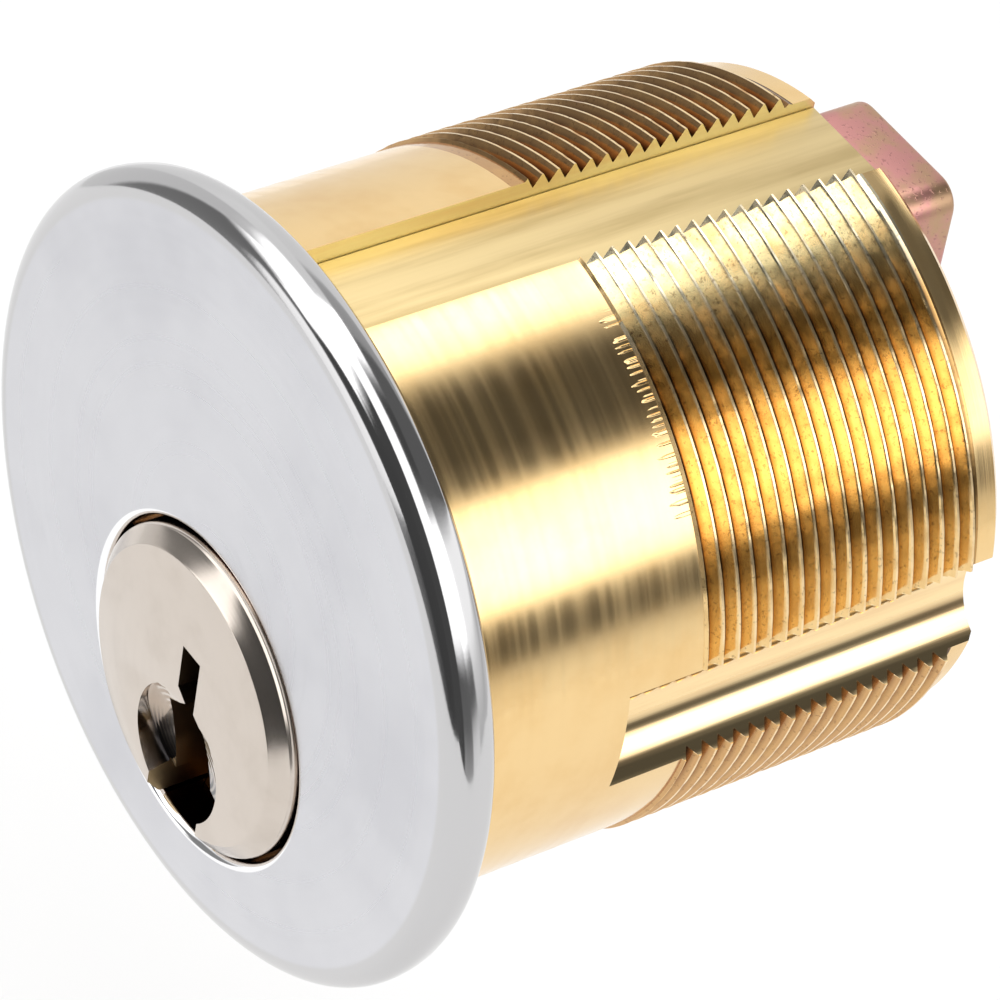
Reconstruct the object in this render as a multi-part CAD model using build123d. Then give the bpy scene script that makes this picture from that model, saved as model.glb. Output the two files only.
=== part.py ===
from build123d import *
from math import cos, pi, sin, sqrt
import os

# Mortise cylinder, millimetres. The cylinder's axis is Y: the head's seat lies in Y = 0, the face looks
# along -Y and the threaded body runs along +Y. The pin chambers stand at 12 o'clock, along +Z.

# Head
head_radius = 17.0            # at the widest place of its rounded side
head_thickness = 2.18
head_widest = 1.42            # distance of the widest place from the seat
head_seat_narrowing = 0.36    # how far the rounded side draws in from its widest place to the seat
face_rim_narrowing = 0.86     # and from its widest place to the rim of the face
front_cone_count = 4          # cones that make up the side in front of its widest place
back_cone_count = 3

# Body
body_length = 26.4            # from the seat to the back end
land_radius = 14.45           # plain barrel between the head and the thread
thread_major_radius = 14.605  # 1.150 inch over the crests
thread_start = 11.45
thread_end_setback = 1.6      # plain collar behind the thread
back_collar_radius = 14.12
back_end_chamfer = 0.3
thread_relief = 0.4           # length of the slope from the thread to the back collar

# Plug and the bore that carries it
plug_drop = 5.85              # plug axis below the body axis
plug_radius = 6.35
plug_running_clearance = 0.04
plug_head_radius = 7.15
plug_head_clearance = 0.12
plug_head_back = 0.25         # shoulder behind the seat
plug_shoulder_gap = 0.05
plug_face_proud = 0.62        # the plug's face stands this far in front of the head's
plug_chamfer_depth = 0.72
plug_chamfer_width = 0.8
plug_back_proud = 0.5
bore_lip_round = 0.42

# Keyway, across the plug
keyway_top = 2.5
keyway_top_width = 1.27
keyway_top_left = -0.38
keyway_lean = 0.06            # how far the top slot leans over its height
keyway_shoulder = 0.31        # height at which the slot narrows to its left tooth
keyway_tooth = 0.32           # reach of the left tooth into the slot
keyway_tooth_drop = 0.45
keyway_left_drop = 1.35
keyway_right_shoulder = -0.2  # height at which the slot widens to its right
keyway_right_drop = 0.45
keyway_foot_slope = 0.3
keyway_left = -0.95
keyway_right = 1.75
keyway_foot_top = -4.5
keyway_foot_left = -1.25
keyway_foot_right = 2.3
countersink_radius = 2.95
countersink_floor_radius = 1.9
countersink_x = 0.27
countersink_z = -2.95
countersink_pocket = 0.8

# Pin stacks
stack_count = 6
first_stack = 3.6             # behind the seat
last_stack_setback = 3.05     # before the back end
pin_radius = 1.46
pin_clearance = 0.04
shear_gap = 0.05              # driver pins stand this far off the plug
bottom_pin_lengths = [5.0, 6.1, 4.6, 5.7, 6.5, 5.3]
bottom_pin_tip_radius = 0.45
bottom_pin_cone = 0.95
bottom_pin_crown = 0.22       # the flat top lies this far under the plug's surface
chamber_floor = -1.3          # lowest point of the plug chambers, from the plug axis
driver_length = 4.5
driver_edge = 0.25
spring_wire = 0.28
spring_mean_radius = 1.12
spring_turns = 5.5
spring_sides = 8              # straight runs in each turn of the coil
spring_end_gap = 0.02

# Slot over the chambers and its cover strip
slot_width = 4.76
slot_start = 0.4              # the cutter stops just short of the seat
slot_floor = 12.45
cover_thickness = 1.0
cover_side_clearance = 0.03
cover_end_gap = 0.05

# Grooves for the set screw, at 3 and 9 o'clock
groove_width = 4.76
groove_floor = 12.65
groove_start = 7.8

# Cam and its screws
cam_thickness = 2.9
cam_hub_radius = 7.6
cam_reach = 18.2              # from the plug axis to the tip
cam_tip_half_width = 3.55
cam_root_half_width = 4.0
cam_tip_round = 1.2
cam_edge_break = 0.25
cam_screw_spacing = 7.8
cam_screw_radius = 1.2
cam_screw_clearance = 0.03
cam_screw_depth = 5.5         # into the plug
cam_screw_head_radius = 2.15
cam_screw_head_depth = 1.1
cam_screw_slot_width = 0.5
cam_screw_slot_depth = 0.5
tap_run_out = 0.3             # the tapped hole goes this much deeper than its screw

# Derived places
face_y = -head_thickness
head_seat_radius = head_radius - head_seat_narrowing
face_rim_radius = head_radius - face_rim_narrowing
thread_end = body_length - thread_end_setback
plug_z = -plug_drop
bore_radius = plug_radius + plug_running_clearance
counterbore_radius = plug_head_radius + plug_head_clearance
counterbore_floor = plug_head_back + plug_shoulder_gap
plug_face_y = face_y - plug_face_proud
plug_back_y = body_length + plug_back_proud
chamber_radius = pin_radius + pin_clearance
stack_pitch = (body_length - last_stack_setback - first_stack) / (stack_count - 1)
stack_places = [first_stack + i * stack_pitch for i in range(stack_count)]
bottom_pin_top = sqrt(plug_radius**2 - pin_radius**2) - bottom_pin_crown
driver_bottom = plug_radius + shear_gap
cam_back_y = plug_back_y + cam_thickness
far = 4 * head_radius
overrun = 1.0                 # cutting shapes pass the surfaces by this much


def turned(outline):
    """Solid turned about the Y axis from an outline of (radius, y) edges."""
    return revolve(make_face(outline), Axis.Y)


def box_between(low, high):
    size = [b - a for a, b in zip(low, high)]
    centre = [(a + b) / 2 for a, b in zip(low, high)]
    return Pos(*centre) * Box(*size)


def rod_y(radius, y_start, y_end, x=0.0, z=0.0):
    rod = Cylinder(radius, y_end - y_start)
    return Pos(x, (y_start + y_end) / 2, z) * Rot(-90, 0, 0) * rod


def rod_z(radius, z_start, z_end, y):
    return Pos(0, y, (z_start + z_end) / 2) * Cylinder(radius, z_end - z_start)


def side_arc(end_radius, end_y, cone_count):
    """Corners of the head's rounded side, from one of its ends towards its widest place."""
    corners = []
    for cone in range(cone_count):
        reach = 1 - cone / cone_count
        radius = head_radius - (head_radius - end_radius) * reach**2
        corners.append((radius, -head_widest + (end_y + head_widest) * reach))
    return corners


def head_blank():
    back = side_arc(head_seat_radius, 0, back_cone_count)
    front = side_arc(face_rim_radius, face_y, front_cone_count)
    points = [(0, 0)] + back + [(head_radius, -head_widest)] + front[::-1] + [(0, face_y)]
    return turned(Polyline(*points, close=True))


def body_blank():
    run_out = thread_major_radius - land_radius
    points = [
        (0, 0),
        (land_radius, 0),
        (land_radius, thread_start - run_out),
        (thread_major_radius, thread_start),
        (thread_major_radius, thread_end),
        (back_collar_radius, thread_end + thread_relief),
        (back_collar_radius, body_length - back_end_chamfer),
        (back_collar_radius - back_end_chamfer, body_length),
        (0, body_length),
    ]
    return turned(Polyline(*points, close=True))


def plug_bore():
    lip_reach = counterbore_radius + bore_lip_round
    points = [
        (0, face_y - overrun),
        (lip_reach + overrun, face_y - overrun),
        (lip_reach, face_y),
        (counterbore_radius, face_y + bore_lip_round),
        (counterbore_radius, counterbore_floor),
        (bore_radius, counterbore_floor),
        (bore_radius, body_length + overrun),
        (0, body_length + overrun),
    ]
    return Pos(0, 0, plug_z) * turned(Polyline(*points, close=True))


def side_groove(side):
    half = groove_width / 2
    low = [min(side * groove_floor, side * far), groove_start, -half]
    high = [max(side * groove_floor, side * far), body_length + overrun, half]
    return box_between(low, high)


def shell():
    part = head_blank() + body_blank()
    part -= plug_bore()
    half = slot_width / 2
    part -= box_between([-half, slot_start, slot_floor], [half, body_length + overrun, far])
    for side in (-1, 1):
        part -= side_groove(side)
    for y in stack_places:
        part -= rod_z(chamber_radius, plug_z, slot_floor + overrun, y)
    return part


def keyway_outline():
    """Corners of the broached keyway, clockwise from the top left, from the plug axis."""
    slot_right = keyway_top_left + keyway_top_width
    below = -2 * plug_radius
    return [
        (keyway_top_left, keyway_top),
        (slot_right, keyway_top),
        (slot_right + keyway_lean, keyway_right_shoulder),
        (keyway_right, keyway_right_shoulder - keyway_right_drop),
        (keyway_right, keyway_foot_top + keyway_foot_slope),
        (keyway_foot_right, keyway_foot_top),
        (keyway_foot_right, below),
        (keyway_foot_left, below),
        (keyway_foot_left, keyway_foot_top),
        (keyway_left, keyway_foot_top + keyway_foot_slope),
        (keyway_left, keyway_shoulder - keyway_left_drop),
        (keyway_tooth, keyway_shoulder - keyway_tooth_drop),
        (keyway_top_left + keyway_lean, keyway_shoulder),
    ]


def keyway():
    corners = [(x, plug_face_y - overrun, z) for x, z in keyway_outline()]
    face = make_face(Polyline(*corners, close=True))
    return extrude(face, amount=plug_back_y - plug_face_y + 2 * overrun, dir=(0, 1, 0))


def key_countersink():
    depth = countersink_radius - countersink_floor_radius
    points = [
        (0, -overrun),
        (countersink_radius + overrun, -overrun),
        (countersink_floor_radius, depth),
        (countersink_floor_radius, depth + countersink_pocket),
        (0, depth + countersink_pocket),
    ]
    return Pos(countersink_x, plug_face_y, countersink_z) * turned(Polyline(*points, close=True))


def plug_blank():
    points = [
        (0, plug_face_y),
        (plug_head_radius - plug_chamfer_width, plug_face_y),
        (plug_head_radius, plug_face_y + plug_chamfer_depth),
        (plug_head_radius, plug_head_back),
        (plug_radius, plug_head_back),
        (plug_radius, plug_back_y),
        (0, plug_back_y),
    ]
    return turned(Polyline(*points, close=True))


def plug():
    part = plug_blank() - keyway() - key_countersink()
    for y in stack_places:
        part -= rod_z(chamber_radius, chamber_floor, 2 * plug_radius, y)
    for side in (-1, 1):
        tap = cam_screw_radius + cam_screw_clearance
        x = cam_screw_x(side)
        part -= rod_y(tap, plug_back_y - cam_screw_depth - tap_run_out, plug_back_y + overrun, x)
    return Pos(0, 0, plug_z) * part


def bottom_pin(length):
    """Pin with a flat top and a blunt cone that rides the key's cuts."""
    tip = bottom_pin_top - length
    points = [
        (0, bottom_pin_top),
        (pin_radius, bottom_pin_top),
        (pin_radius, tip + bottom_pin_cone),
        (bottom_pin_tip_radius, tip),
        (0, tip),
    ]
    outline = Polyline(*[(r, 0, z) for r, z in points], close=True)
    return revolve(make_face(outline), Axis.Z)


def driver_pin():
    top = driver_bottom + driver_length
    points = [
        (0, driver_bottom),
        (pin_radius - driver_edge, driver_bottom),
        (pin_radius, driver_bottom + driver_edge),
        (pin_radius, top - driver_edge),
        (pin_radius - driver_edge, top),
        (0, top),
    ]
    outline = Polyline(*[(r, 0, z) for r, z in points], close=True)
    return revolve(make_face(outline), Axis.Z)


def pin_spring():
    """Coil from the top of a driver to the cover strip, in the driver's own place."""
    low = plug_z + driver_bottom + driver_length + spring_end_gap + spring_wire / 2
    high = slot_floor - spring_end_gap - spring_wire / 2
    runs = round(spring_turns * spring_sides)
    points = []
    for run in range(runs + 1):
        angle = 2 * pi * run / spring_sides
        height = low + (high - low) * run / runs
        points.append((spring_mean_radius * cos(angle), spring_mean_radius * sin(angle), height))
    coil = Polyline(*points)
    start = Plane(origin=coil @ 0, z_dir=coil % 0)
    return sweep(start * Rectangle(spring_wire, spring_wire), path=coil, transition=Transition.RIGHT)


def chamber_cover():
    half = slot_width / 2 - cover_side_clearance
    low = [-half, slot_start + cover_end_gap, slot_floor]
    high = [half, body_length - cover_end_gap, slot_floor + cover_thickness]
    return box_between(low, high)


def cam_screw_x(side):
    return side * cam_screw_spacing / 2


def cam():
    plane = Plane.XZ.offset(-plug_back_y)
    tail = make_face(Polyline(
        (-cam_root_half_width, 0), (-cam_tip_half_width, cam_reach),
        (cam_tip_half_width, cam_reach), (cam_root_half_width, 0), close=True))
    tips = tail.vertices().sort_by(Axis.Y)[-2:]
    outline = Circle(cam_hub_radius) + fillet(tips, cam_tip_round)
    plate = extrude(plane * outline, amount=-cam_thickness)
    rims = plate.faces().sort_by(Axis.Y)[0].edges() + plate.faces().sort_by(Axis.Y)[-1].edges()
    plate = chamfer(rims, cam_edge_break)
    for side in (-1, 1):
        x = cam_screw_x(side)
        hole = cam_screw_radius + 2 * cam_screw_clearance
        plate -= rod_y(hole, plug_back_y - overrun, cam_back_y, x)
        plate -= Pos(x, 0, 0) * screw_head(2 * cam_screw_clearance)
    return Pos(0, 0, plug_z) * plate


def screw_head(margin):
    points = [
        (0, cam_back_y - cam_screw_head_depth - margin),
        (cam_screw_radius + margin, cam_back_y - cam_screw_head_depth - margin),
        (cam_screw_head_radius + margin, cam_back_y),
        (0, cam_back_y),
    ]
    return turned(Polyline(*points, close=True))


def cam_screw(side):
    x = cam_screw_x(side)
    shank_top = cam_back_y - cam_screw_head_depth
    part = screw_head(0) + rod_y(cam_screw_radius, plug_back_y - cam_screw_depth, shank_top)
    half = cam_screw_slot_width / 2
    part -= box_between([-far, cam_back_y - cam_screw_slot_depth, -half], [far, cam_back_y + overrun, half])
    return Pos(x, 0, plug_z) * part


def save(shape, name):
    export_step(shape, f"parts/{name}.step")


os.makedirs("parts", exist_ok=True)
save(shell(), "shell")
save(plug(), "plug")
save(chamber_cover(), "chamber_cover")
save(cam(), "cam")
for number, side in enumerate((-1, 1), start=1):
    save(cam_screw(side), f"cam_screw_{number}")
for number, (y, length) in enumerate(zip(stack_places, bottom_pin_lengths), start=1):
    save(Pos(0, y, plug_z) * bottom_pin(length), f"bottom_pin_{number}")
    save(Pos(0, y, plug_z) * driver_pin(), f"driver_pin_{number}")
    save(Pos(0, y, 0) * pin_spring(), f"pin_spring_{number}")
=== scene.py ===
import bmesh
import bpy
import math
from mathutils import Matrix, Vector, noise


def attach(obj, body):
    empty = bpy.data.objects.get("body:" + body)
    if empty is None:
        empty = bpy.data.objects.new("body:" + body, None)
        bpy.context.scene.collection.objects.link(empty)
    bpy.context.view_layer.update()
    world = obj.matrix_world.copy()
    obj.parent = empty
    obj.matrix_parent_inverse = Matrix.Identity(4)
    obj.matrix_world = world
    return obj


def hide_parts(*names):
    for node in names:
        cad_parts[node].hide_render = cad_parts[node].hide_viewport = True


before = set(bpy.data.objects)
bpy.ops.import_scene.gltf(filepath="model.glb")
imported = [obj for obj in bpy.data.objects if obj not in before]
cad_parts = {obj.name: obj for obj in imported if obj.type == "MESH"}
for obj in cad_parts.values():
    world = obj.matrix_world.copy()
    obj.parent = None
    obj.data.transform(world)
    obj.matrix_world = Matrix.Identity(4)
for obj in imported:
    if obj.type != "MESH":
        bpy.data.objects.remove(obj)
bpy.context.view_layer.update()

mm = 0.001
scene = bpy.context.scene
scene.view_settings.view_transform = "Standard"

# Sizes that more than one piece uses, in millimetres
cylinder = {
    "plugDrop": 5.85,
    "bodyLength": 26.4,
    "landRadius": 14.45,
    "collarRadius": 14.12,
    "boreRadius": 6.39,
    "counterboreRadius": 7.32,
    "counterboreFloor": 0.3,
    "slotWidth": 4.76,
    "slotStart": 0.4,
    "slotFloor": 12.45,
    "headFace": -2.18,
    "plugFace": -2.8,
    "plugBack": 26.9,
    "stackCount": 6,
    "firstStack": 3.6,
    "stackPitch": 3.95,
    "chamberRadius": 1.5,
}

# Distances in millimetres that count as touching
touch = {
    "weld": 0.002,
    "rim": 0.001,
    "wall": 0.01,
}


# Modelling helpers

def deselectAll():
    if bpy.context.mode != "OBJECT":
        bpy.ops.object.mode_set(mode="OBJECT")
    bpy.ops.object.select_all(action="DESELECT")


def pick(piece):
    deselectAll()
    piece.select_set(True)
    bpy.context.view_layer.objects.active = piece


def startPiece(name, primitive, **settings):
    deselectAll()
    primitive(**settings)
    piece = bpy.context.object
    piece.name = name
    piece.data.name = name
    return piece


def settle(piece):
    pick(piece)
    bpy.ops.object.transform_apply(location=True, rotation=True, scale=True)


def applyModifier(piece, modifier):
    pick(piece)
    bpy.ops.object.modifier_apply(modifier=modifier.name)


def smoothByAngle(piece, degrees):
    pick(piece)
    bpy.ops.object.shade_smooth_by_angle(angle=math.radians(degrees))


def tidyMesh(piece):
    pick(piece)
    bpy.ops.object.mode_set(mode="EDIT")
    bpy.ops.mesh.select_all(action="SELECT")
    bpy.ops.mesh.remove_doubles(threshold=touch["weld"] * mm)
    bpy.ops.mesh.normals_make_consistent(inside=False)
    bpy.ops.object.mode_set(mode="OBJECT")


def cutAway(piece, cutter):
    boolean = piece.modifiers.new("cut", "BOOLEAN")
    boolean.operation = "DIFFERENCE"
    boolean.solver = "EXACT"
    boolean.object = cutter
    applyModifier(piece, boolean)
    bpy.data.objects.remove(cutter)


def roundEdges(piece, width):
    bevel = piece.modifiers.new("edge", "BEVEL")
    bevel.width = width * mm
    bevel.segments = 3
    bevel.limit_method = "ANGLE"
    bevel.angle_limit = math.radians(40)
    applyModifier(piece, bevel)


def joined(pieces):
    deselectAll()
    for piece in pieces:
        piece.select_set(True)
    bpy.context.view_layer.objects.active = pieces[0]
    bpy.ops.object.join()
    return pieces[0]


def turned(name, outline, steps, drop=0.0, aside=0.0):
    # outline holds (radius, y) in millimetres and starts and ends on the axis
    piece = startPiece(name, bpy.ops.mesh.primitive_plane_add, size=mm)
    bpy.ops.object.mode_set(mode="EDIT")
    bpy.ops.mesh.merge(type="CENTER")
    start = Vector((outline[0][0], outline[0][1], 0)) * mm
    bpy.ops.transform.translate(value=start)
    for here, there in zip(outline, outline[1:]):
        step = Vector((there[0] - here[0], there[1] - here[1], 0)) * mm
        bpy.ops.mesh.extrude_region_move(TRANSFORM_OT_translate={"value": step})
    bpy.ops.mesh.select_all(action="SELECT")
    bpy.ops.mesh.spin(steps=steps, angle=2 * math.pi, center=(0, 0, 0), axis=(0, 1, 0))
    bpy.ops.mesh.select_all(action="SELECT")
    bpy.ops.transform.translate(value=(aside * mm, 0, -drop * mm))
    tidyMesh(piece)
    return piece


def wrappedGrid(name, columns, rows, pointAt):
    # a flat grid laid round the axis: columns close on themselves at 12 o'clock
    piece = startPiece(name, bpy.ops.mesh.primitive_grid_add, size=1,
                       x_subdivisions=columns, y_subdivisions=rows - 1)
    for vert in piece.data.vertices:
        column = round((vert.co.x + 0.5) * columns)
        row = round((vert.co.y + 0.5) * (rows - 1))
        vert.co = pointAt(column, row)
    tidyMesh(piece)
    return piece


def plate(name, outline, low, high):
    # outline holds (x, z) corners in millimetres; the plate stands between two heights along Y
    piece = startPiece(name, bpy.ops.mesh.primitive_plane_add, size=mm)
    bpy.ops.object.mode_set(mode="EDIT")
    bpy.ops.mesh.merge(type="CENTER")
    bpy.ops.transform.translate(value=Vector((outline[0][0], low, outline[0][1])) * mm)
    for here, there in zip(outline, outline[1:]):
        step = Vector((there[0] - here[0], 0, there[1] - here[1])) * mm
        bpy.ops.mesh.extrude_region_move(TRANSFORM_OT_translate={"value": step})
    bpy.ops.mesh.select_all(action="SELECT")
    bpy.ops.mesh.edge_face_add()
    bpy.ops.mesh.extrude_region_move(TRANSFORM_OT_translate={"value": (0, (high - low) * mm, 0)})
    tidyMesh(piece)
    return piece


def box(name, low, high):
    centre = [(a + b) / 2 * mm for a, b in zip(low, high)]
    size = [(b - a) * mm for a, b in zip(low, high)]
    piece = startPiece(name, bpy.ops.mesh.primitive_cube_add, size=1, location=centre, scale=size)
    settle(piece)
    return piece


def arcPoints(centre, radius, startDegrees, endDegrees, count):
    points = []
    for i in range(count + 1):
        angle = math.radians(startDegrees + (endDegrees - startDegrees) * i / count)
        points.append((centre[0] + radius * math.cos(angle), centre[1] + radius * math.sin(angle)))
    return points


def smoothStep(value):
    value = max(0.0, min(1.0, value))
    return value * value * (3 - 2 * value)


# Material helpers

def feed(tree, socket, value):
    if isinstance(value, bpy.types.NodeSocket):
        tree.links.new(value, socket)
    else:
        socket.default_value = value


def addNode(tree, kind, inputs=None, **settings):
    made = tree.nodes.new(kind)
    for key, value in settings.items():
        setattr(made, key, value)
    for key, value in (inputs or {}).items():
        feed(tree, made.inputs[key], value)
    return made


def maths(tree, operation, first, second=0.0):
    return addNode(tree, "ShaderNodeMath", {0: first, 1: second}, operation=operation).outputs[0]


def ramp(tree, factor, stops):
    made = addNode(tree, "ShaderNodeValToRGB", {"Fac": factor})
    elements = made.color_ramp.elements
    elements.remove(elements[1])
    for place, colour in stops:
        element = elements[0] if place == stops[0][0] else elements.new(place)
        element.position = place
        element.color = (*colour, 1)
    return made.outputs["Color"]


def grey(value):
    return (value, value, value)


def mixColour(tree, factor, first, second):
    made = addNode(tree, "ShaderNodeMix", {0: factor}, data_type="RGBA")
    for key, value in ((6, first), (7, second)):
        feed(tree, made.inputs[key], (*value, 1) if isinstance(value, tuple) else value)
    return made.outputs[2]


def span(tree, value, low, high, toLow=0.0, toHigh=1.0, smooth=True):
    return addNode(tree, "ShaderNodeMapRange", {
        "Value": value, "From Min": low, "From Max": high, "To Min": toLow, "To Max": toHigh,
    }, interpolation_type="SMOOTHSTEP" if smooth else "LINEAR").outputs["Result"]


def newGroup(name, inputs, outputs):
    group = bpy.data.node_groups.new(name, "ShaderNodeTree")
    for title, kind, value in inputs:
        socket = group.interface.new_socket(title, in_out="INPUT", socket_type=kind)
        socket.default_value = value
    for title, kind in outputs:
        group.interface.new_socket(title, in_out="OUTPUT", socket_type=kind)
    given = group.nodes.new("NodeGroupInput")
    result = group.nodes.new("NodeGroupOutput")
    return group, given, result


number = "NodeSocketFloat"
vector = "NodeSocketVector"


def makeRoundTheAxis():
    # splits a point into its distance from an axis along Y and its clock angle, which starts at the top
    group, given, result = newGroup(
        "roundTheAxis",
        [("Drop", number, 0.0), ("Aside", number, 0.0)],
        [("Radius", number), ("Clock", number), ("Along", number)])
    place = addNode(group, "ShaderNodeTexCoord").outputs["Object"]
    parts = addNode(group, "ShaderNodeSeparateXYZ", {0: place})
    lifted = maths(group, "ADD", parts.outputs["Z"], given.outputs["Drop"])
    moved = maths(group, "SUBTRACT", parts.outputs["X"], given.outputs["Aside"])
    flat = addNode(group, "ShaderNodeCombineXYZ", {"X": moved, "Z": lifted})
    radius = addNode(group, "ShaderNodeVectorMath", {0: flat.outputs[0]}, operation="LENGTH")
    group.links.new(radius.outputs["Value"], result.inputs["Radius"])
    group.links.new(maths(group, "ARCTAN2", moved, lifted), result.inputs["Clock"])
    group.links.new(parts.outputs["Y"], result.inputs["Along"])
    return group


roundTheAxis = makeRoundTheAxis()


def makeTurningMarks():
    # fine rings that a lathe tool leaves, across the radius and along the axis
    group, given, result = newGroup(
        "turningMarks",
        [("Drop", number, 0.0), ("Across", number, 9000.0), ("Along", number, 9000.0),
         ("Waver", number, 0.6)],
        [("Rings", number), ("Broad", number)])
    around = addNode(group, "ShaderNodeGroup", node_tree=roundTheAxis)
    group.links.new(given.outputs["Drop"], around.inputs["Drop"])
    across = maths(group, "MULTIPLY", around.outputs["Radius"], given.outputs["Across"])
    along = maths(group, "MULTIPLY", around.outputs["Along"], given.outputs["Along"])
    turn = maths(group, "SINE", around.outputs["Clock"])
    waver = maths(group, "MULTIPLY", turn, given.outputs["Waver"])
    place = addNode(group, "ShaderNodeCombineXYZ", {"X": across, "Y": along, "Z": waver})
    fine = addNode(group, "ShaderNodeTexNoise", {
        "Vector": place.outputs[0], "Scale": 1.0, "Detail": 3.0, "Roughness": 0.6})
    broad = addNode(group, "ShaderNodeTexNoise", {
        "Vector": place.outputs[0], "Scale": 0.12, "Detail": 2.0, "Roughness": 0.5})
    group.links.new(fine.outputs["Fac"], result.inputs["Rings"])
    group.links.new(broad.outputs["Fac"], result.inputs["Broad"])
    return group


turningMarks = makeTurningMarks()


# noise at which a speck starts, and at which it is full
speckSpan = (0.59, 0.68)


def makeSpeckle():
    # uneven patches and small specks
    group, given, result = newGroup(
        "speckle",
        [("Patch Scale", number, 300.0), ("Speck Scale", number, 2500.0),
         ("Stretch", vector, (1.0, 1.0, 1.0))],
        [("Patches", number), ("Specks", number)])
    place = addNode(group, "ShaderNodeTexCoord").outputs["Object"]
    stretched = addNode(group, "ShaderNodeVectorMath", {0: place, 1: given.outputs["Stretch"]},
                        operation="MULTIPLY").outputs["Vector"]
    patches = addNode(group, "ShaderNodeTexNoise", {
        "Vector": stretched, "Scale": given.outputs["Patch Scale"], "Detail": 4.0, "Roughness": 0.6})
    specks = addNode(group, "ShaderNodeTexNoise", {
        "Vector": stretched, "Scale": given.outputs["Speck Scale"], "Detail": 2.0, "Roughness": 0.7})
    group.links.new(patches.outputs["Fac"], result.inputs["Patches"])
    group.links.new(span(group, specks.outputs["Fac"], *speckSpan), result.inputs["Specks"])
    return group


speckle = makeSpeckle()


def newMaterial(name):
    material = bpy.data.materials.new(name)
    material.use_nodes = True
    tree = material.node_tree
    shader = tree.nodes["Principled BSDF"]
    shader.inputs["Metallic"].default_value = 1.0
    return material, tree, shader


def useGroup(tree, group, **inputs):
    made = addNode(tree, "ShaderNodeGroup", node_tree=group)
    for key, value in inputs.items():
        made.inputs[key].default_value = value
    return made


def setSurface(tree, shader, colour, roughness):
    feed(tree, shader.inputs["Base Color"], colour)
    feed(tree, shader.inputs["Roughness"], roughness)


def addBump(tree, shader, height, distance, strength):
    bump = addNode(tree, "ShaderNodeBump", {"Height": height, "Distance": distance, "Strength": strength})
    tree.links.new(bump.outputs["Normal"], shader.inputs["Normal"])
    return bump


# Camera

camera = {
    "azimuth": 48.24,
    "elevation": 41.86,
    "roll": 11.63,
    "focus": (0.0, 12.717, 0.0),
    "shiftRight": -0.83,
    "shiftUp": -0.82,
    "distance": 231.4,
    "lens": 204.4,
    "sensorWidth": 36,
    "nearest": 0.01,
}


def makeCamera():
    azimuth, elevation, roll = (math.radians(camera[key]) for key in ("azimuth", "elevation", "roll"))
    back = Vector((math.sin(azimuth) * math.cos(elevation),
                   -math.cos(azimuth) * math.cos(elevation), math.sin(elevation)))
    level = Vector((math.cos(azimuth), math.sin(azimuth), 0))
    upright = back.cross(level)
    right = math.cos(roll) * level + math.sin(roll) * upright
    up = -math.sin(roll) * level + math.cos(roll) * upright
    target = Vector(camera["focus"]) + camera["shiftRight"] * right + camera["shiftUp"] * up
    place = (target + back * camera["distance"]) * mm
    data = bpy.data.cameras.new("camera")
    data.lens = camera["lens"]
    data.sensor_width = camera["sensorWidth"]
    data.clip_start = camera["nearest"]
    made = bpy.data.objects.new("camera", data)
    scene.collection.objects.link(made)
    turn = Matrix((right, up, back)).transposed().to_4x4()
    made.matrix_world = Matrix.Translation(place) @ turn
    scene.camera = made


makeCamera()
print("camera placed")


# Room: six rows of soft boxes and dark cards round the cylinder's axis, and a pale floor

room = {
    "floorHeight": -0.058,
    "floorSize": 0.36,
    "floorMiddle": 0.013,
    "floorColour": (0.55, 0.55, 0.55),
    "floorGlow": 0.37,
    "strongest": 4.0,
    # (clock angle in degrees, brightness) round the axis, clockwise from the top, for each row
    "tip": [
        (-180, 0.15), (-141, 0.2), (-133, 1.3), (-86, 1.45), (-76, 0.15), (-60, 0.08), (122, 0.07),
        (136, 0.1), (180, 0.15),
    ],
    "nose": [
        (-180, 0.3), (-141, 0.4), (-133, 1.3), (-86, 1.45), (-76, 0.25), (-66, 0.2), (-60, 1.9), (-12, 2.2),
        (-4, 0.8), (3, 0.08), (122, 0.07), (136, 0.12), (180, 0.2),
    ],
    "front": [
        (-180, 0.9), (-122, 0.85), (-110, 0.25), (-64, 0.2), (-57, 1.1), (-52, 2.0), (-6, 2.2), (1, 0.7),
        (7, 0.08), (118, 0.09), (128, 0.4), (142, 0.85), (180, 0.9),
    ],
    "middle": [
        (-180, 0.92), (-128, 0.95), (-112, 0.8), (-58, 0.74), (-50, 0.85), (-43, 1.9), (66, 2.0),
        (74, 1.6), (78, 0.7), (82, 0.14), (96, 0.18), (112, 0.5), (126, 0.8), (180, 0.92),
    ],
    "back": [
        (-180, 0.92), (-95, 0.9), (-84, 0.92), (-70, 0.99), (-50, 0.98), (-27, 0.95), (-24, 1.1),
        (-21.5, 3.0), (-12, 2.9), (-5.6, 2.0), (-1.4, 1.0), (2.7, 0.36), (6.9, 0.12), (12, 0.08),
        (28, 0.08), (36, 0.17), (40, 0.66), (44, 1.9), (48.5, 2.45), (58, 3.0), (66, 3.05), (73, 2.6),
        (77.5, 1.5), (81.6, 0.34), (86, 0.16), (90.5, 0.14), (94, 0.26), (98, 0.66), (103, 0.90),
        (108, 0.98), (131, 0.93), (180, 0.92),
    ],
    "rear": [
        (-180, 0.95), (-46, 0.92), (-39, 0.5), (-17, 0.42), (-12, 0.15), (36, 0.14), (42, 0.4), (52, 1.4),
        (78, 1.4), (88, 0.95), (108, 0.65), (130, 0.8), (151, 0.8), (166, 0.95), (180, 0.95),
    ],
    # where one row passes into the next, as places along the axis, -1 at the front and 1 at the back
    "rowEnds": [("nose", -0.89, -0.86), ("front", -0.80, -0.75), ("middle", -0.42, -0.31),
                ("back", 0.22, 0.32), ("rear", 0.55, 0.61)],
}


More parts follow.
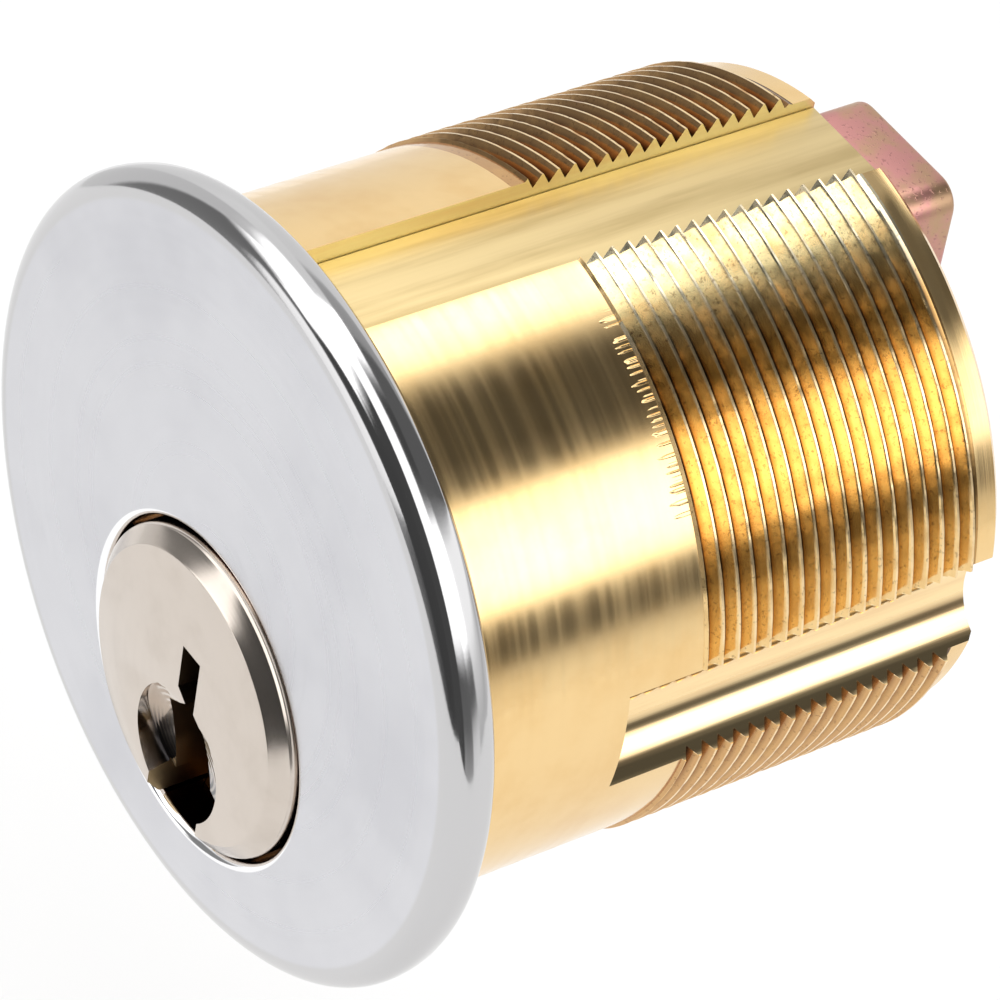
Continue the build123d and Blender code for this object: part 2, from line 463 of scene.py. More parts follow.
def cardRow(tree, place, row):
    strongest = room["strongest"]
    return ramp(tree, place, [((angle + 180) / 360, grey(value / strongest)) for angle, value in room[row]])


def makeWorld():
    world = bpy.data.worlds.new("room")
    world.use_nodes = True
    scene.world = world
    tree = world.node_tree
    tree.nodes.clear()
    direction = addNode(tree, "ShaderNodeTexCoord").outputs["Generated"]
    parts = addNode(tree, "ShaderNodeSeparateXYZ", {0: direction})
    clock = maths(tree, "ARCTAN2", parts.outputs["X"], parts.outputs["Z"])
    place = span(tree, clock, -math.pi, math.pi, smooth=False)
    colour = cardRow(tree, place, "tip")
    for row, low, high in room["rowEnds"]:
        passed = span(tree, parts.outputs["Y"], low, high)
        colour = mixColour(tree, passed, colour, cardRow(tree, place, row))
    cards = addNode(tree, "ShaderNodeBackground", {"Color": colour, "Strength": room["strongest"]})
    white = addNode(tree, "ShaderNodeBackground", {"Color": (1, 1, 1, 1), "Strength": 1.0})
    path = addNode(tree, "ShaderNodeLightPath")
    mixed = addNode(tree, "ShaderNodeMixShader", {
        0: path.outputs["Is Camera Ray"], 1: cards.outputs[0], 2: white.outputs[0]})
    output = addNode(tree, "ShaderNodeOutputWorld")
    tree.links.new(mixed.outputs[0], output.inputs["Surface"])


def makeFloor():
    floor = startPiece("floor", bpy.ops.mesh.primitive_plane_add, size=room["floorSize"],
                       location=(0, room["floorMiddle"], room["floorHeight"]))
    settle(floor)
    material = bpy.data.materials.new("paleFloor")
    material.use_nodes = True
    tree = material.node_tree
    tree.nodes.clear()
    matt = addNode(tree, "ShaderNodeBsdfDiffuse", {"Color": (*room["floorColour"], 1)})
    glow = addNode(tree, "ShaderNodeEmission", {"Strength": room["floorGlow"]})
    seen = addNode(tree, "ShaderNodeAddShader", {0: matt.outputs[0], 1: glow.outputs[0]})
    path = addNode(tree, "ShaderNodeLightPath")
    direct = maths(tree, "MAXIMUM", path.outputs["Is Camera Ray"], path.outputs["Is Glossy Ray"])
    direct = maths(tree, "MAXIMUM", direct, path.outputs["Is Transmission Ray"])
    mixed = addNode(tree, "ShaderNodeMixShader", {0: direct, 1: matt.outputs[0], 2: seen.outputs[0]})
    output = addNode(tree, "ShaderNodeOutputMaterial")
    tree.links.new(mixed.outputs[0], output.inputs["Surface"])
    floor.data.materials.append(material)


makeWorld()
makeFloor()
print("room made")


# Finishes, each with its changeable values beside it

# most values of a noise lie in this span
noiseSpan = (0.3, 0.7)


def patchColour(tree, patches, look):
    # the finish passes into its darker shade in patches
    return mixColour(tree, span(tree, patches, *look["patchSpan"]), look["colour"], look["dark"])


def unevenRoughness(tree, marks, look):
    return span(tree, marks, *noiseSpan, *look["roughnessSpan"])


chromeLook = {
    "colour": (0.675, 0.675, 0.70),
    "dark": (0.60, 0.60, 0.63),
    "patchSpan": (0.35, 0.75),
    # polished rim, painted darker as shade, and polished lip, painted near white as a highlight ring, and
    # how far from the axis each blends into the satin face, in metres
    "rim": (0.60, 0.595, 0.60),
    "rimSpan": (0.01575, 0.01598),
    "rimRoughness": 0.085,
    "lip": (0.97, 0.97, 0.98),
    "lipSpan": (0.00762, 0.00768),
    "lipRoughness": 0.08,
    # painted shade down the plug's bore, and the heights between which it starts
    "bore": (0.22, 0.10, 0.06),
    "boreSpan": (-0.00183, -0.00178),
    "roughness": 0.24,
    "roughnessSpan": (-0.02, 0.04),
    "marks": {"Across": 16000.0, "Along": 9000.0, "Waver": 1.5},
    "cloud": {"Patch Scale": 120.0, "Speck Scale": 1800.0},
    "grain": {"Patch Scale": 1500.0, "Speck Scale": 3000.0, "Stretch": (1.0, 1.0, 0.6)},
    "bump": (0.000006, 0.35),
}


def makeChrome():
    material, tree, shader = newMaterial("satinChrome")
    marks = useGroup(tree, turningMarks, **chromeLook["marks"])
    cloud = useGroup(tree, speckle, **chromeLook["cloud"])
    colour = patchColour(tree, cloud.outputs["Patches"], chromeLook)
    around = useGroup(tree, roundTheAxis)
    beside = useGroup(tree, roundTheAxis, Drop=cylinder["plugDrop"] * mm)
    # painted highlight: the lip round the plug takes a near white colour
    lip = span(tree, beside.outputs["Radius"], *chromeLook["lipSpan"], 1.0, 0.0)
    colour = mixColour(tree, lip, colour, chromeLook["lip"])
    # painted shade: below the lip the bore takes a dark brown colour
    sunk = span(tree, beside.outputs["Along"], *chromeLook["boreSpan"])
    sunk = maths(tree, "MULTIPLY", sunk, lip)
    # painted shade: the head's rounded rim takes a darker colour than the face
    rim = span(tree, around.outputs["Radius"], *chromeLook["rimSpan"])
    colour = mixColour(tree, rim, colour, chromeLook["rim"])
    colour = mixColour(tree, sunk, colour, chromeLook["bore"])
    plain = span(tree, rim, 0.0, 1.0, chromeLook["roughness"], chromeLook["rimRoughness"], smooth=False)
    uneven = unevenRoughness(tree, marks.outputs["Broad"], chromeLook)
    rough = mixColour(tree, lip, maths(tree, "ADD", plain, uneven), grey(chromeLook["lipRoughness"]))
    setSurface(tree, shader, colour, rough)
    grain = useGroup(tree, speckle, **chromeLook["grain"])
    addBump(tree, shader, grain.outputs["Patches"], *chromeLook["bump"])
    return material


burrs = {
    "perRadian": 62.0,
    # how far the longest reaches from the place where they start, in metres, and how they end
    "reach": 0.0022,
    "start": 0.01185,
    "tipFade": 0.0003,
    "endSpan": (0.0116, 0.0118),
    # the part of the noise that stands up as ticks
    "tickSpan": (0.50, 0.60),
    # middle of their part in radians from 12 o'clock, and how far to each side they fade
    "middle": 0.64,
    "sideSpan": (0.22, 0.32),
}


def makeBurrs(tree):
    # short ticks that the threading tool left on the land in front of the first thread
    around = useGroup(tree, roundTheAxis)
    across = maths(tree, "MULTIPLY", around.outputs["Clock"], burrs["perRadian"])
    place = addNode(tree, "ShaderNodeCombineXYZ", {"X": across})
    teeth = addNode(tree, "ShaderNodeTexNoise", {"Vector": place.outputs[0], "Scale": 1.0, "Detail": 1.0})
    reach = maths(tree, "MULTIPLY", teeth.outputs["Fac"], burrs["reach"])
    tip = maths(tree, "SUBTRACT", burrs["start"], reach)
    along = maths(tree, "SUBTRACT", around.outputs["Along"], tip)
    ticks = span(tree, teeth.outputs["Fac"], *burrs["tickSpan"])
    ticks = maths(tree, "MULTIPLY", ticks, span(tree, along, 0.0, burrs["tipFade"]))
    ended = span(tree, around.outputs["Along"], *burrs["endSpan"], 1.0, 0.0)
    ticks = maths(tree, "MULTIPLY", ticks, ended)
    aside = maths(tree, "ABSOLUTE", maths(tree, "SUBTRACT", around.outputs["Clock"], burrs["middle"]))
    return maths(tree, "MULTIPLY", ticks, span(tree, aside, *burrs["sideSpan"], 1.0, 0.0))


landLook = {
    "colour": (0.91, 0.65, 0.32),
    "dark": (0.86, 0.58, 0.26),
    "patchSpan": (0.35, 0.8),
    "roughnessSpan": (0.09, 0.19),
    "marks": {"Across": 4000.0, "Along": 14000.0, "Waver": 0.8},
    "cloud": {"Patch Scale": 350.0, "Speck Scale": 1500.0},
    "bump": (0.000004, 0.35),
    "burrBump": (0.00006, 0.8),
}


def makeLandBrass():
    material, tree, shader = newMaterial("turnedBrass")
    marks = useGroup(tree, turningMarks, **landLook["marks"])
    cloud = useGroup(tree, speckle, **landLook["cloud"])
    colour = patchColour(tree, cloud.outputs["Patches"], landLook)
    setSurface(tree, shader, colour, unevenRoughness(tree, marks.outputs["Broad"], landLook))
    rings = addBump(tree, shader, marks.outputs["Rings"], *landLook["bump"])
    ticks = addBump(tree, shader, makeBurrs(tree), *landLook["burrBump"])
    tree.links.new(rings.outputs["Normal"], ticks.inputs["Normal"])
    return material


threadLook = {
    "crest": (0.95, 0.72, 0.42),
    "flank": (0.90, 0.63, 0.29),
    "low": (0.74, 0.45, 0.17),
    # painted shade: near black colour for the thread roots
    "root": (0.10, 0.05, 0.02),
    "speck": (0.24, 0.12, 0.05),
    # painted highlight: near white colour for a band of thread
    "paleHighlight": (0.98, 0.89, 0.64),
    # painted shade: deeper colours for the grooves on the shaded side
    "grooveShade": (0.32, 0.16, 0.07),
    "shadedFlank": (0.64, 0.38, 0.17),
    # distances from the axis at the root and at the crest, in metres
    "heightSpan": (0.01403, 0.01460),
    # colours from root to crest, painted darker towards the root as shade in the grooves; the second ramp,
    # for the shaded side, paints deeper groove shade
    "litSideStops": [(0.0, "root"), (0.07, "root"), (0.2, "low"), (0.5, "flank"), (0.97, "flank"),
                   (1.0, "crest")],
    "shadedSideStops": [(0.0, "root"), (0.15, "root"), (0.45, "grooveShade"), (0.8, "shadedFlank"),
                   (0.97, "shadedFlank"), (1.0, "crest")],
    # middle of the painted highlight band and of the lit side in radians from 12 o'clock, with half widths
    "highlightPart": (0.20, 0.12, 0.38),
    "litSidePart": (0.86, 0.80, 0.90),
    "grimeSpan": (0.42, 0.7),
    "grimeStrength": 0.35,
    "speckStrength": 0.45,
    "roughnessSpan": (0.07, 0.22),
    "cloud": {"Patch Scale": 900.0, "Speck Scale": 5200.0},
    "bump": (0.000012, 0.4),
}


def outsidePart(tree, clock, part):
    middle, narrow, wide = part
    offset = maths(tree, "ABSOLUTE", maths(tree, "SUBTRACT", clock, middle))
    return span(tree, offset, narrow, wide)


def makeThreadBrass():
    material, tree, shader = newMaterial("threadBrass")
    around = useGroup(tree, roundTheAxis)
    cloud = useGroup(tree, speckle, **threadLook["cloud"])
    height = span(tree, around.outputs["Radius"], *threadLook["heightSpan"], smooth=False)
    # painted shade: both ramps darken the thread towards its root
    litSideRamp, shadedSideRamp = [ramp(tree, height, [(place, threadLook[key]) for place, key in threadLook[stops]])
                    for stops in ("litSideStops", "shadedSideStops")]
    # painted highlight: a narrow band near 12 o'clock is painted near white over the whole thread
    outsideHighlight = outsidePart(tree, around.outputs["Clock"], threadLook["highlightPart"])
    colour = mixColour(tree, outsideHighlight, threadLook["paleHighlight"], litSideRamp)
    # painted shade: outside the lit side the grooves take the deeper shaded ramp
    onShadedSide = outsidePart(tree, around.outputs["Clock"], threadLook["litSidePart"])
    colour = mixColour(tree, onShadedSide, colour, shadedSideRamp)
    grime = span(tree, cloud.outputs["Patches"], *threadLook["grimeSpan"])
    grime = maths(tree, "MULTIPLY", grime, threadLook["grimeStrength"])
    colour = mixColour(tree, grime, colour, threadLook["low"])
    specks = maths(tree, "MULTIPLY", cloud.outputs["Specks"], threadLook["speckStrength"])
    colour = mixColour(tree, specks, colour, threadLook["speck"])
    setSurface(tree, shader, colour, unevenRoughness(tree, cloud.outputs["Patches"], threadLook))
    addBump(tree, shader, cloud.outputs["Patches"], *threadLook["bump"])
    return material


sawnLook = {
    "colour": (0.99, 0.91, 0.53),
    "dark": (0.90, 0.74, 0.38),
    "patchSpan": (0.35, 0.75),
    "roughness": 0.48,
    # patches drawn out along the axis
    "grain": {"Patch Scale": 1400.0, "Speck Scale": 3000.0, "Stretch": (1.0, 0.06, 1.0)},
    "bump": (0.00001, 0.4),
}

milledLook = {
    **sawnLook,
    "colour": (0.99, 0.76, 0.42),
    "dark": (0.90, 0.62, 0.33),
    "roughness": 0.07,
}


def makeCutBrass(name, look):
    material, tree, shader = newMaterial(name)
    grain = useGroup(tree, speckle, **look["grain"])
    colour = patchColour(tree, grain.outputs["Patches"], look)
    setSurface(tree, shader, colour, look["roughness"])
    addBump(tree, shader, grain.outputs["Patches"], *look["bump"])
    return material


stripLook = {
    "colour": (0.80, 0.63, 0.33),
    "dark": (0.52, 0.38, 0.17),
    "grainSpan": (0.35, 0.7),
    "cloudSpan": (0.2, 0.8, 0.4, 1.0),
    "roughness": 0.40,
    "grain": {"Patch Scale": 900.0, "Speck Scale": 2600.0, "Stretch": (1.0, 0.05, 1.0)},
    "cloud": {"Patch Scale": 260.0, "Speck Scale": 900.0, "Stretch": (1.0, 0.4, 1.0)},
    "bump": (0.00004, 0.5),
}


def makeStripBrass():
    material, tree, shader = newMaterial("stripBrass")
    grain = useGroup(tree, speckle, **stripLook["grain"])
    cloud = useGroup(tree, speckle, **stripLook["cloud"])
    streaks = span(tree, grain.outputs["Patches"], *stripLook["grainSpan"])
    shade = maths(tree, "MULTIPLY", streaks, span(tree, cloud.outputs["Patches"], *stripLook["cloudSpan"]))
    colour = mixColour(tree, shade, stripLook["colour"], stripLook["dark"])
    setSurface(tree, shader, colour, stripLook["roughness"])
    addBump(tree, shader, grain.outputs["Patches"], *stripLook["bump"])
    return material


nickelLook = {
    "colour": (0.66, 0.59, 0.525),
    "dark": (0.60, 0.53, 0.465),
    "patchSpan": (0.4, 0.8),
    "roughnessSpan": (0.12, 0.22),
    "marks": {"Drop": cylinder["plugDrop"] * mm, "Across": 12000.0, "Along": 9000.0, "Waver": 1.0},
    "cloud": {"Patch Scale": 420.0, "Speck Scale": 1800.0},
    "bump": (0.000004, 0.3),
}


def makeNickel():
    material, tree, shader = newMaterial("nickelPlate")
    marks = useGroup(tree, turningMarks, **nickelLook["marks"])
    cloud = useGroup(tree, speckle, **nickelLook["cloud"])
    colour = patchColour(tree, cloud.outputs["Patches"], nickelLook)
    setSurface(tree, shader, colour, unevenRoughness(tree, marks.outputs["Broad"], nickelLook))
    addBump(tree, shader, marks.outputs["Rings"], *nickelLook["bump"])
    return material


recessLook = {
    "colour": nickelLook["colour"],
    # painted shade for the deep part of the recess
    "dark": (0.10, 0.095, 0.10),
    # middle of the cutter's rings, their number, and how dark the painted shade is on their two sides
    "middle": {"Drop": 0.0088, "Aside": 0.00027},
    "ringScale": 22000.0,
    "ringHeight": 0.5,
    "ringShade": (-1.0, 0.6, 0.45, 1.0),
    # heights between which the painted shade deepens, in metres
    "shadeDepthSpan": (-0.00236, -0.00202),
    "roughness": 0.12,
    "cloud": {"Patch Scale": 600.0, "Speck Scale": 1800.0},
    "bump": (0.00001, 0.8),
}


def makeDishNickel():
    # the recess in the plug's face carries the rings of its cutter, and painted shade that deepens down
    # into it
    material, tree, shader = newMaterial("dishNickel")
    around = useGroup(tree, roundTheAxis, **recessLook["middle"])
    rings = maths(tree, "MULTIPLY", around.outputs["Radius"], recessLook["ringScale"])
    rings = maths(tree, "SINE", rings)
    cloud = useGroup(tree, speckle, **recessLook["cloud"])
    height = maths(tree, "ADD", maths(tree, "MULTIPLY", rings, recessLook["ringHeight"]),
                   cloud.outputs["Patches"])
    # painted shade: the recess darkens with depth, broken by the rings
    deepShade = span(tree, around.outputs["Along"], *recessLook["shadeDepthSpan"])
    shade = maths(tree, "MULTIPLY", deepShade, span(tree, rings, *recessLook["ringShade"]))
    colour = mixColour(tree, shade, recessLook["colour"], recessLook["dark"])
    setSurface(tree, shader, colour, recessLook["roughness"])
    addBump(tree, shader, height, *recessLook["bump"])
    return material


keywayLook = {
    "litMouth": (0.62, 0.46, 0.25),
    "deepShade": (0.14, 0.09, 0.05),
    # heights between which the lit mouth passes into the painted shade, and distances from the plug's
    # axis over which the mouth grows bright, in metres
    "depthSpan": (-0.0027, -0.0009),
    "farSpan": (0.0034, 0.0043),
    "roughness": 0.42,
}


def makeKeywayBrass():
    # bare brass inside the keyway, painted dark as shade everywhere but the lower part of its mouth, which
    # keeps a lit brass colour
    material, tree, shader = newMaterial("keywayBrass")
    around = useGroup(tree, roundTheAxis, Drop=cylinder["plugDrop"] * mm)
    litMouth = span(tree, around.outputs["Along"], *keywayLook["depthSpan"], 1.0, 0.0)
    bright = maths(tree, "MULTIPLY", litMouth, span(tree, around.outputs["Radius"], *keywayLook["farSpan"]))
    # painted shade deep in the keyway, and a lit brass colour at the lower part of its mouth
    colour = mixColour(tree, bright, keywayLook["deepShade"], keywayLook["litMouth"])
    setSurface(tree, shader, colour, keywayLook["roughness"])
    return material


zincLook = {
    # rose that passes into gold
    "colour": (0.60, 0.28, 0.26),
    "dark": (0.52, 0.33, 0.20),
    "patchSpan": (0.42, 0.66),
    "speck": (0.34, 0.15, 0.14),
    "speckStrength": 0.5,
    "roughness": 0.36,
    "cloud": {"Patch Scale": 420.0, "Speck Scale": 5200.0},
    "bump": (0.00002, 0.5),
}


def makeZinc():
    material, tree, shader = newMaterial("yellowZinc")
    cloud = useGroup(tree, speckle, **zincLook["cloud"])
    colour = patchColour(tree, cloud.outputs["Patches"], zincLook)
    specks = maths(tree, "MULTIPLY", cloud.outputs["Specks"], zincLook["speckStrength"])
    colour = mixColour(tree, specks, colour, zincLook["speck"])
    setSurface(tree, shader, colour, zincLook["roughness"])
    addBump(tree, shader, cloud.outputs["Specks"], *zincLook["bump"])
    return material


shadedPinLook = {
    # painted shade: the pins' brass is darkened, as they are seen deep in the keyway
    "colour": (0.60, 0.44, 0.20),
    "dark": (0.48, 0.352, 0.16),
    "roughnessSpan": (0.20, 0.32),
    "cloud": {"Patch Scale": 900.0, "Speck Scale": 4000.0},
    "bump": (0.00001, 0.3),
}

screwLook = {
    **shadedPinLook,
    "colour": (0.62, 0.60, 0.57),
    "dark": (0.496, 0.48, 0.456),
    "roughnessSpan": (0.26, 0.38),
}

springLook = {
    **screwLook,
    "cloud": {"Patch Scale": 1500.0, "Speck Scale": 4000.0},
}


def makePlainMetal(name, look):
    material, tree, shader = newMaterial(name)
    cloud = useGroup(tree, speckle, **look["cloud"])
    colour = mixColour(tree, cloud.outputs["Patches"], look["colour"], look["dark"])
    setSurface(tree, shader, colour, unevenRoughness(tree, cloud.outputs["Patches"], look))
    addBump(tree, shader, cloud.outputs["Specks"], *look["bump"])
    return material


satinChrome = makeChrome()
turnedBrass = makeLandBrass()
threadBrass = makeThreadBrass()
sawnBrass = makeCutBrass("sawnBrass", sawnLook)
milledBrass = makeCutBrass("milledBrass", milledLook)
stripBrass = makeStripBrass()
nickelPlate = makeNickel()
yellowZinc = makeZinc()
shadedPinBrass = makePlainMetal("shadedPinBrass", shadedPinLook)
keywayBrass = makeKeywayBrass()
dishNickel = makeDishNickel()
springSteel = makePlainMetal("springSteel", springLook)
screwSteel = makePlainMetal("screwSteel", screwLook)
print("finishes made")


# Head, as one closed skin of rings that run from the bore out over the face and back to the bore

head = {
    "steps": 320,
    "faceRings": 34,
    # the face is dished by this much, and its rim lies a little under the front
    "dishDepth": 0.06,
    "rimDepth": 0.006,
    "faceRadius": 15.9,
    "boreRing": -0.8,
    "lipRound": 0.42,
    "lipRings": 7,
    # the rounded side from the face's rim to the seat, as (radius, y)
    "side": [
        (16.02, -2.172), (16.14, -2.15), (16.26, -2.115), (16.38, -2.065), (16.50, -2.0), (16.61, -1.92),
        (16.71, -1.83), (16.79, -1.735), (16.86, -1.63), (16.91, -1.52), (16.945, -1.40),
        (16.965, -1.26), (16.97, -1.10), (16.955, -0.90), (16.925, -0.72), (16.885, -0.56),
        (16.83, -0.42), (16.765, -0.30), (16.685, -0.19), (16.59, -0.10), (16.48, -0.03),
        (16.36, 0.0),
    ],
    "smoothAngle": 40,
}


def faceHeight(radius):
    hollow = head["dishDepth"] * (1 - (radius / head["faceRadius"]) ** 2)
    return cylinder["headFace"] + head["rimDepth"] + hollow


def headRings():
    # (drop of the ring's centre, radius, y, how far it lies under the face), with y left out on the face
    drop = cylinder["plugDrop"]
    bore = cylinder["counterboreRadius"]
    rings = [(drop, bore, 0.0, 0.0), (drop, bore, head["boreRing"], 0.0)]
    for i in range(head["lipRings"] + 1):
        angle = math.radians(90 * i / head["lipRings"])
        reach = head["lipRound"] * (1 - math.cos(angle))
        sunk = head["lipRound"] * (1 - math.sin(angle))
        rings.append((drop, bore + reach, None, sunk))
    start = bore + head["lipRound"]
    for i in range(1, head["faceRings"] + 1):
        t = i / head["faceRings"]
        rings.append((drop * (1 - t), start + (head["faceRadius"] - start) * t, None, 0.0))
    for radius, y in head["side"]:
        rings.append((0.0, radius, y, 0.0))
    rings.append(rings[0])
    return rings


def makeHead():
    rings = headRings()

    def pointAt(column, row):
        drop, radius, y, sunk = rings[row]
        angle = 2 * math.pi * (column % head["steps"]) / head["steps"]
        x = radius * math.sin(angle)
        z = radius * math.cos(angle) - drop
        if y is None:
            y = faceHeight(math.hypot(x, z)) + sunk
        return Vector((x, y, z)) * mm

    piece = wrappedGrid("headCap", head["steps"], len(rings), pointAt)
    piece.data.materials.append(satinChrome)
    smoothByAngle(piece, head["smoothAngle"])
    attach(piece, "shell")
    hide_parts("shell")


makeHead()
print("head made")


# Threaded body

thread = {
    "steps": 360,
    "pitch": 0.7792,
    "turns": 21,
    "crest": 14.605,
    "depth": 0.57,
    "start": 11.24,
    "end": 24.75,
    "gridStart": 10.97,
    "gridEnd": 25.2,
    # one pitch of the outline, as (place, depth), from a crest over a groove to the next crest
    "outline": [
        (0.0, 0.0), (0.12, 0.0), (0.33, 0.5), (0.54, 0.985), (0.56, 1.0), (0.58, 0.985), (0.79, 0.5),
    ],
    "firstGroove": 0.12,
    # pitches of the grid that lie flat before the thread starts, one less past the closing turn
    "leadIn": 2,
    "closingTurn": 0.985,
    # points nearer than this to an end of the grid are drawn to it
    "nearest": 0.02,
    "wear": 0.035,
    "wearRadius": 14,
    "wearScale": 1.6,
    "collarLength": 0.4,
    "endChamfer": 0.3,
    # how far below the root a face still counts as thread
    "rootMargin": 0.1,
    "smoothAngle": 18,
}


def threadPoint(column, row):
    samples = len(thread["outline"])
    place, depth = thread["outline"][row % samples]
    turn = column / thread["steps"]
    along = row // samples + place
    lead = thread["leadIn"]
    y = thread["start"] + thread["pitch"] * (along - lead - thread["firstGroove"] + turn)
    # the start steps back by one pitch inside the slot, so that the grid closes on itself
    flat = lead - 1 if turn > thread["closingTurn"] else lead
    started = along >= flat + thread["firstGroove"] - 0.001
    if y < thread["gridStart"] + thread["nearest"]:
        y = thread["gridStart"]
    if y > thread["gridEnd"] - thread["nearest"]:
        y = thread["gridEnd"]
    angle = 2 * math.pi * (column % thread["steps"]) / thread["steps"]
    around = thread["wearRadius"]
    spot = Vector((math.sin(angle), y / around, math.cos(angle))) * around * thread["wearScale"]
    radius = thread["crest"] - thread["depth"] * depth
    radius -= thread["wear"] * (1 - depth) * max(0.0, noise.noise(spot))
    if not started:
        radius = cylinder["landRadius"]
    ended = smoothStep((y - thread["end"]) / thread["collarLength"])
    radius += (cylinder["collarRadius"] - radius) * ended
    return Vector((radius * math.sin(angle), y, radius * math.cos(angle))) * mm


def selectRim(piece, height):
    # edit mode: selects the verts whose y lies at a height in millimetres
    bpy.ops.mesh.select_mode(type="VERT")
    bpy.ops.mesh.select_all(action="DESELECT")
    mesh = bmesh.from_edit_mesh(piece.data)
    for vert in mesh.verts:
        vert.select = abs(vert.co.y - height * mm) < touch["rim"] * mm
    mesh.select_flush_mode()
    bmesh.update_edit_mesh(piece.data)


def closeEnds(piece):
    pick(piece)
    bpy.ops.object.mode_set(mode="EDIT")
    selectRim(piece, thread["gridStart"])
    bpy.ops.mesh.extrude_region_move(TRANSFORM_OT_translate={"value": (0, -thread["gridStart"] * mm, 0)})
    bpy.ops.mesh.edge_face_add()
    selectRim(piece, thread["gridEnd"])
    chamfer = thread["endChamfer"]
    run = cylinder["bodyLength"] - chamfer - thread["gridEnd"]
    bpy.ops.mesh.extrude_region_move(TRANSFORM_OT_translate={"value": (0, run * mm, 0)})
    bpy.ops.mesh.extrude_region_move(TRANSFORM_OT_translate={"value": (0, chamfer * mm, 0)})
    shrink = 1 - chamfer / cylinder["collarRadius"]
    bpy.ops.transform.resize(value=(shrink, 1, shrink), center_override=(0, 0, 0))
    bpy.ops.mesh.edge_face_add()
    bpy.ops.object.mode_set(mode="OBJECT")
    tidyMesh(piece)


cutters = {
    "start": -2,
    "end": 28,
    "slotTop": 16,
    # the slot's sawn faces lie outside this radius
    "sawnRadius": 12,
    "boreSteps": 160,
    "grooveSteps": 96,
    "chamberSteps": 48,
    # heights from the body's axis between which the chambers run through it
    "chambers": (-1, 13.5),
}


def boreCutter():
    bore = cylinder["boreRadius"]
    wide = cylinder["counterboreRadius"]
    floor = cylinder["counterboreFloor"]
    start, end = cutters["start"], cutters["end"]
    outline = [(0, start), (wide, start), (wide, floor), (bore, floor), (bore, end), (0, end)]
    return turned("bore", outline, steps=cutters["boreSteps"], drop=cylinder["plugDrop"])


def slotCutter():
    half = cylinder["slotWidth"] / 2
    low = (-half, cylinder["slotStart"], cylinder["slotFloor"])
    return box("slot", low, (half, cutters["end"], cutters["slotTop"]))


groove = {
    "floor": 12.5,
    "radius": 2.65,
    "start": 7.8,
}


def grooveCutter():
    # the grooves at 3 and 9 o'clock are milled with a round section
    sides = []
    for side in (-1, 1):
        centre = (groove["floor"] + groove["radius"]) * side
        outline = [(0, groove["start"]), (groove["radius"], groove["start"]),
                   (groove["radius"], cutters["end"]), (0, cutters["end"])]
        sides.append(turned("groove", outline, steps=cutters["grooveSteps"], aside=centre))
    return joined(sides)


def chamberCutter(low, high):
    pieces = []
    for i in range(cylinder["stackCount"]):
        y = cylinder["firstStack"] + i * cylinder["stackPitch"]
        piece = startPiece("chamber", bpy.ops.mesh.primitive_cylinder_add,
                           vertices=cutters["chamberSteps"],
                           radius=cylinder["chamberRadius"] * mm, depth=(high - low) * mm,
                           location=(0, y * mm, (low + high) / 2 * mm))
        settle(piece)
        pieces.append(piece)
    return joined(pieces)


def paintBody(piece):
    # 0 land, 1 thread, 2 sawn walls and floor of the slot, 3 milled grooves
    half = cylinder["slotWidth"] / 2 * mm
    floor = cylinder["slotFloor"] * mm
    milled = groove["radius"] * mm
    grooveX = groove["floor"] * mm + milled
    near = touch["wall"] * mm
    threadLow = (thread["crest"] - thread["depth"] - thread["rootMargin"]) * mm
    for face in piece.data.polygons:
        centre, normal = face.center, face.normal
        radius = math.hypot(centre.x, centre.z)
        inGroove = abs(math.hypot(abs(centre.x) - grooveX, centre.z) - milled) < near
        onWall = abs(normal.x) > 0.99 and abs(abs(centre.x) - half) < near
        onFloor = normal.z > 0.99 and abs(centre.z - floor) < near
        sawn = radius > cutters["sawnRadius"] * mm and (onWall or onFloor)
        along = thread["start"] * mm < centre.y < thread["gridEnd"] * mm
        threaded = along and radius > threadLow
        face.material_index = 3 if inGroove else 2 if sawn else 1 if threaded else 0


def makeBody():
    rows = thread["turns"] * len(thread["outline"]) + 1
    piece = wrappedGrid("threadedBody", thread["steps"], rows, threadPoint)
    closeEnds(piece)
    cutAway(piece, boreCutter())
    cutAway(piece, slotCutter())
    cutAway(piece, grooveCutter())
    cutAway(piece, chamberCutter(*cutters["chambers"]))
    for material in (turnedBrass, threadBrass, sawnBrass, milledBrass):
        piece.data.materials.append(material)
    paintBody(piece)
    smoothByAngle(piece, thread["smoothAngle"])
    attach(piece, "shell")
    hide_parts("shell")


makeBody()
print("threaded body made")


# Strip that closes the pin chambers

strip = {
    "low": (-2.35, 0.45, 12.45),
    "high": (2.35, 26.35, 13.45),
    "edge": 0.08,
    "smoothAngle": 40,
}


def makeStrip():
    piece = box("chamberStrip", strip["low"], strip["high"])
    roundEdges(piece, strip["edge"])
    piece.data.materials.append(stripBrass)
    smoothByAngle(piece, strip["smoothAngle"])
    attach(piece, "shell")
    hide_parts("chamber_cover")


makeStrip()
print("strip made")


# Plug with its keyway

